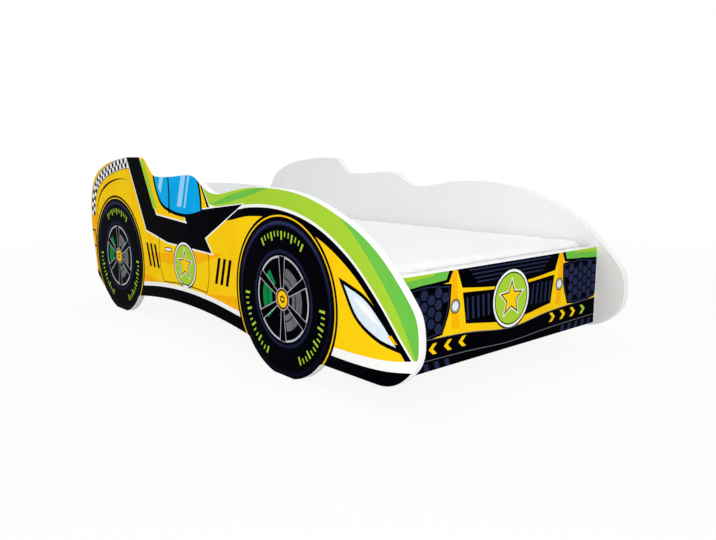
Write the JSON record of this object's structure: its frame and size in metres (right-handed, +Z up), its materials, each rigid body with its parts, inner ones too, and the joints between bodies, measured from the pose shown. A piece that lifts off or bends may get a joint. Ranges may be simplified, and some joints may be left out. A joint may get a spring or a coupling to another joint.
{
  "type": "children's car bed",
  "caption": "Flat-pack children's bed shaped as a racing car, with car-outline side panels, a front panel, a head panel, a slatted base and a foam mattress.",
  "frame": {"origin": "middle of the bed on the floor, under the centre of its bounding box", "axes": "+X to the nose of the car, which is the foot of the bed; +Y to the car's left-hand side; +Z up"},
  "size_m": [1.54, 0.74, 0.484],
  "materials": {
    "printed_board": "printed melamine-faced board, satin",
    "white_board": "white melamine-faced board, satin",
    "pine_rail": "planed pine",
    "pine_slat": "planed pine",
    "webbing": "woven polyester tape",
    "steel": "bright zinc plate",
    "zinc": "die-cast zinc",
    "cap_plastic": "moulded, satin",
    "beech": "fluted beech",
    "mattress_cloth": "white knitted cover",
    "foam": "open-cell foam"
  },
  "bodies": {
    "bed_frame": {"side_panel_right": "printed_board", "side_panel_left": "printed_board", "front_panel": "printed_board", "head_panel": "white_board", "slat_rail_right": "pine_rail", "slat_rail_left": "pine_rail", "slat_01": "pine_slat", "slat_02": "pine_slat", "slat_03": "pine_slat", "slat_04": "pine_slat", "slat_05": "pine_slat", "slat_06": "pine_slat", "slat_07": "pine_slat", "slat_08": "pine_slat", "slat_09": "pine_slat", "slat_10": "pine_slat", "slat_11": "pine_slat", "slat_12": "pine_slat", "slat_13": "pine_slat", "webbing_right": "webbing", "webbing_left": "webbing", "slat_screws": "steel", "rail_screws_right": "steel", "rail_screws_left": "steel", "front_cam_bolts": "steel", "front_cams": "zinc", "front_cam_caps": "cap_plastic", "front_dowels": "beech", "head_cam_bolts": "steel", "head_cams": "zinc", "head_cam_caps": "cap_plastic", "head_dowels": "beech"},
    "mattress": {"mattress_cover": "mattress_cloth", "mattress_foam": "foam"}
  },
  "joints": [
    {"name": "mattress_lift", "type": "slide", "parent": "bed_frame", "child": "mattress", "axis": [0, 0, 1], "range_m": [0, 0.4]}
  ]
}
